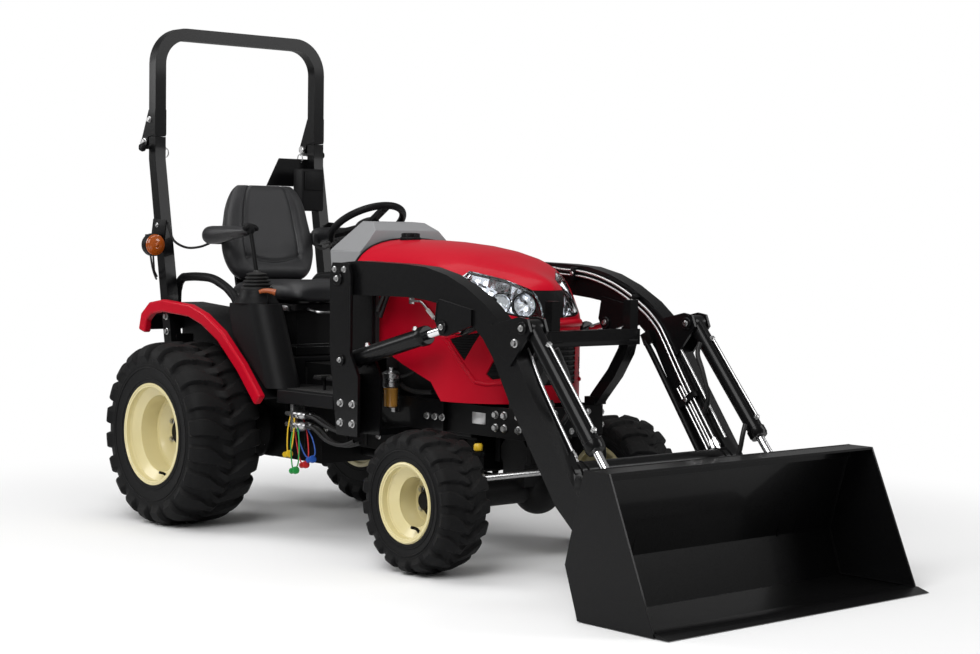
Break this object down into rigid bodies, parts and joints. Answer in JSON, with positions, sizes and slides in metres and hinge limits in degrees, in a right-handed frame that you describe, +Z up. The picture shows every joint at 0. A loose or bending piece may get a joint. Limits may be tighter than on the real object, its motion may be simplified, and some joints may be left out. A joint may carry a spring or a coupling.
{
  "type": "compact farm tractor with front loader",
  "caption": "Compact farm tractor with a front bucket loader, open driver's place under a folding roll bar, rear three-point hitch and block-lug tyres.",
  "frame": {"origin": "middle of the footprint's box, on the floor", "axes": "+X forward, +Y to the driver's left, +Z up"},
  "size_m": [3.4578, 1.32, 1.9779],
  "materials": {
    "black_paint": "gloss",
    "chassis_paint": "satin",
    "red_paint": "gloss",
    "cream_paint": "satin",
    "cast_metal": "painted",
    "bright_steel": "satin",
    "rod_chrome": "polished",
    "tyre_rubber": "matte",
    "grey_plastic": "textured",
    "black_plastic": "textured",
    "seat_vinyl": "soft",
    "lamp_clear": "clear",
    "lamp_orange": "clear"
  },
  "bodies": {
    "chassis": {"engine_block": "cast_metal", "transmission_case": "cast_metal", "rear_axle": "cast_metal", "front_frame": "chassis_paint", "front_axle": "cast_metal", "driveshaft": "chassis_paint", "dash_cowl": "grey_plastic", "steering_column": "black_plastic", "platform": "black_plastic", "pedals": "black_plastic", "fenders": "red_paint", "fender_covers": "black_plastic", "loader_console": "black_plastic", "joystick": "black_plastic", "seat_deck": "black_plastic", "seat_base": "black_paint", "seat_cushion": "seat_vinyl", "seat_back": "seat_vinyl", "armrests": "seat_vinyl", "rops_posts": "black_paint", "turn_lamps": "lamp_orange", "sign_plate": "black_paint", "loader_towers": "black_paint", "grille_guard": "black_paint", "drawbar": "chassis_paint", "fuel_filter": "bright_steel", "quick_couplers": "bright_steel"},
    "rear_wheel_right": {"rear_tyre_right": "tyre_rubber", "rear_rim_right": "cream_paint"},
    "rear_wheel_left": {"rear_tyre_left": "tyre_rubber", "rear_rim_left": "cream_paint"},
    "steer_right": {"knuckle_right": "cast_metal"},
    "steer_left": {"knuckle_left": "cast_metal"},
    "steer_link": {"tie_rod": "bright_steel"},
    "front_wheel_right": {"front_tyre_right": "tyre_rubber", "front_rim_right": "cream_paint"},
    "front_wheel_left": {"front_tyre_left": "tyre_rubber", "front_rim_left": "cream_paint"},
    "hand_wheel": {"steering_wheel": "black_plastic"},
    "bonnet": {"hood": "red_paint", "headlamps": "lamp_clear", "hood_grilles": "black_plastic", "nose_panel": "black_plastic"},
    "roll_hoop": {"rops_hoop": "black_paint"},
    "boom": {"loader_boom": "black_paint"},
    "lift_cylinders": {"lift_barrels": "black_paint"},
    "lift_pistons": {"lift_rods": "rod_chrome"},
    "curl_cylinders": {"curl_barrels": "black_paint"},
    "curl_pistons": {"curl_rods": "rod_chrome"},
    "scoop": {"bucket": "black_paint"},
    "hitch_links": {"lower_link_right": "chassis_paint", "lower_link_left": "chassis_paint"},
    "hitch_arms": {"lift_arms": "chassis_paint"},
    "hitch_rods": {"lift_links": "chassis_paint"}
  },
  "joints": [
    {"name": "rear_right_spin", "type": "hinge", "parent": "chassis", "child": "rear_wheel_right", "pos_m": [-1.007, -0.507, 0.357], "axis": [0, 1, 0], "continuous": true},
    {"name": "rear_left_spin", "type": "hinge", "parent": "chassis", "child": "rear_wheel_left", "pos_m": [-1.007, 0.507, 0.357], "axis": [0, 1, 0], "continuous": true},
    {"name": "steer_left_turn", "type": "hinge", "parent": "chassis", "child": "steer_left", "pos_m": [0.443, 0.338, 0.245], "axis": [0, 0, 1], "range_deg": [-48, 48]},
    {"name": "steer_right_turn", "type": "hinge", "parent": "chassis", "child": "steer_right", "pos_m": [0.443, -0.338, 0.245], "axis": [0, 0, 1], "range_deg": [-50, 50]},
    {"name": "steer_link_turn", "type": "hinge", "parent": "steer_left", "child": "steer_link", "pos_m": [0.573, 0.325, 0.322], "axis": [0, 0, 1], "range_deg": [-50, 50]},
    {"name": "front_right_spin", "type": "hinge", "parent": "steer_right", "child": "front_wheel_right", "pos_m": [0.443, -0.456, 0.245], "axis": [0, 1, 0], "continuous": true},
    {"name": "front_left_spin", "type": "hinge", "parent": "steer_left", "child": "front_wheel_left", "pos_m": [0.443, 0.456, 0.245], "axis": [0, 1, 0], "continuous": true},
    {"name": "hand_wheel_turn", "type": "hinge", "parent": "chassis", "child": "hand_wheel", "pos_m": [-0.487, 0, 1.178], "axis": [-0.5299, 0, 0.848], "range_deg": [-580, 580]},
    {"name": "hood_open", "type": "hinge", "parent": "chassis", "child": "bonnet", "pos_m": [-0.195, 0, 1.104], "axis": [0, -1, 0], "range_deg": [0, 50]},
    {"name": "roll_bar_fold", "type": "hinge", "parent": "chassis", "child": "roll_hoop", "pos_m": [-1.435, 0, 1.508], "axis": [0, -1, 0], "range_deg": [0, 125]},
    {"name": "boom_lift", "type": "hinge", "parent": "chassis", "child": "boom", "pos_m": [-0.079, 0, 0.985], "axis": [0, -1, 0], "range_deg": [-4, 68]},
    {"name": "lift_cylinder_swing", "type": "hinge", "parent": "chassis", "child": "lift_cylinders", "pos_m": [-0.057, 0, 0.694], "axis": [0, -1, 0], "range_deg": [-5, 56]},
    {"name": "lift_cylinder_extend", "type": "slide", "parent": "lift_cylinders", "child": "lift_pistons", "axis": [0.9677, 0, 0.2521], "range_m": [-0.02, 0.28]},
    {"name": "bucket_dump", "type": "hinge", "parent": "boom", "child": "scoop", "pos_m": [1.198, 0, 0.212], "axis": [0, 1, 0], "range_deg": [-30, 80]},
    {"name": "curl_cylinder_swing", "type": "hinge", "parent": "boom", "child": "curl_cylinders", "pos_m": [0.888, 0, 0.85], "axis": [0, 1, 0], "range_deg": [-2, 3]},
    {"name": "curl_cylinder_extend", "type": "slide", "parent": "curl_cylinders", "child": "curl_pistons", "axis": [0.6337, 0, -0.7736], "range_m": [-0.09, 0.23]},
    {"name": "hitch_lift", "type": "hinge", "parent": "chassis", "child": "hitch_links", "pos_m": [-1.147, 0, 0.28], "axis": [0, 1, 0], "range_deg": [-10, 42]},
    {"name": "hitch_arm_turn", "type": "hinge", "parent": "chassis", "child": "hitch_arms", "pos_m": [-1.197, 0, 0.69], "axis": [0, 1, 0], "range_deg": [-12, 47]},
    {"name": "hitch_rod_turn", "type": "hinge", "parent": "hitch_arms", "child": "hitch_rods", "pos_m": [-1.477, 0, 0.69], "axis": [0, 1, 0], "range_deg": [-51, 13]}
  ],
  "couplings": [
    {"joint": "steer_right_turn", "follows": "steer_left_turn", "ratio": 1},
    {"joint": "steer_link_turn", "follows": "steer_left_turn", "ratio": -1},
    {"joint": "hand_wheel_turn", "follows": "steer_left_turn", "ratio": 12},
    {"joint": "lift_cylinder_swing", "follows": "boom_lift", "ratio": 0.766},
    {"joint": "lift_cylinder_extend", "follows": "boom_lift", "m_per_rad": 0.224},
    {"joint": "curl_cylinder_swing", "follows": "bucket_dump", "ratio": 0.01},
    {"joint": "curl_cylinder_extend", "follows": "bucket_dump", "m_per_rad": 0.156},
    {"joint": "hitch_arm_turn", "follows": "hitch_lift", "ratio": 1.1},
    {"joint": "hitch_rod_turn", "follows": "hitch_lift", "ratio": -1.183}
  ]
}
